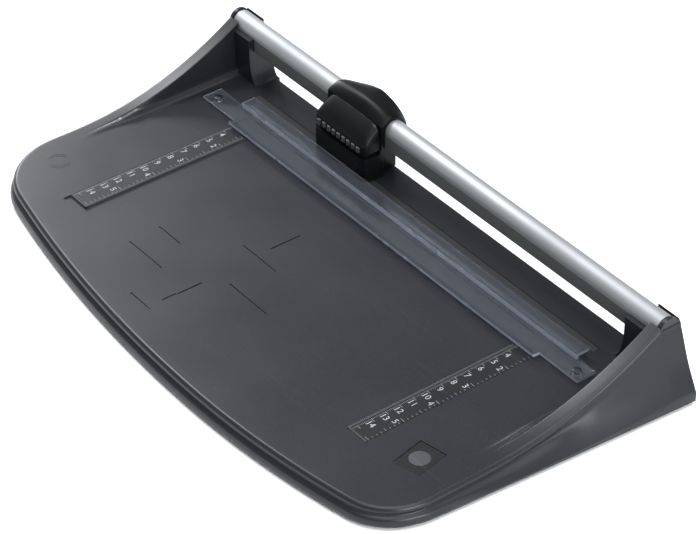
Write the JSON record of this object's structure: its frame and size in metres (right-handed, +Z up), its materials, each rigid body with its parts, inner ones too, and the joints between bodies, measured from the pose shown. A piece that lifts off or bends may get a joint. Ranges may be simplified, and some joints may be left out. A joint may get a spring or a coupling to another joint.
{
  "type": "rotary paper trimmer",
  "caption": "Desktop rotary paper trimmer: a bowed base with raised end cheeks, an aluminium rail, a sliding press-to-cut blade carriage and a clear sprung paper clamp.",
  "frame": {"origin": "on the table, under the middle of the bounding box", "axes": "+X along the rail to the user's right, +Y to the back where the rail is, +Z up"},
  "size_m": [0.4476, 0.2339, 0.0597],
  "materials": {
    "base_plastic": "charcoal, finely grained moulding",
    "ruler_plastic": "dark satin with pale moulded marks",
    "strip_plastic": "soft, dull",
    "rubber": "matt",
    "rail_aluminium": "satin anodised",
    "guide_plastic": "satin",
    "plug_plastic": "satin",
    "steel": "bright zinc",
    "clear_plastic": "clear, smoky blue",
    "shell_plastic": "semi-gloss black",
    "guard_plastic": "satin black",
    "shoe_plastic": "natural slippery plastic",
    "button_plastic": "satin black",
    "blade_steel": "ground steel"
  },
  "bodies": {
    "base": {"base_shell": "base_plastic", "cutting_strip": "strip_plastic", "ruler_left": "ruler_plastic", "ruler_right": "ruler_plastic", "rail": "rail_aluminium", "rail_guide": "guide_plastic", "rail_plug_left": "plug_plastic", "rail_plug_right": "plug_plastic", "rail_screw_left": "steel", "rail_screw_right": "steel", "foot_front_left": "rubber", "foot_front_right": "rubber", "foot_rear_left": "rubber", "foot_rear_right": "rubber", "foot_front_middle": "rubber", "foot_rear_middle": "rubber", "clamp_pin_left": "steel", "clamp_pin_right": "steel", "clamp_spring_left": "steel", "clamp_spring_right": "steel"},
    "clamp": {"clamp_strip": "clear_plastic"},
    "carriage": {"carriage_shell": "shell_plastic", "carriage_base": "guard_plastic", "carriage_shoe_front": "shoe_plastic", "carriage_shoe_rear": "shoe_plastic", "carriage_screw_left": "steel", "carriage_screw_right": "steel", "button_spring": "steel"},
    "button": {"press_button": "button_plastic", "blade_holder": "guard_plastic", "blade_axle": "steel", "blade_clip": "steel"},
    "blade": {"cutting_blade": "blade_steel", "blade_hub": "shoe_plastic"}
  },
  "joints": [
    {"name": "carriage_slide", "type": "slide", "parent": "base", "child": "carriage", "axis": [1, 0, 0], "range_m": [-0.0784, 0.2196]},
    {"name": "button_press", "type": "slide", "parent": "carriage", "child": "button", "axis": [0, 0, -1], "range_m": [0, 0.0032], "stiffness_N_per_m": 900, "springref_m": -0.002, "deforming": ["button_spring"]},
    {"name": "blade_spin", "type": "hinge", "parent": "button", "child": "blade", "pos_m": [-0.0706, 0.0905, 0.0294], "axis": [0, 1, 0], "continuous": true},
    {"name": "clamp_press", "type": "slide", "parent": "base", "child": "clamp", "axis": [0, 0, -1], "range_m": [0, 0.001], "stiffness_N_per_m": 600, "springref_m": -0.002, "deforming": ["clamp_spring_left", "clamp_spring_right"]}
  ]
}
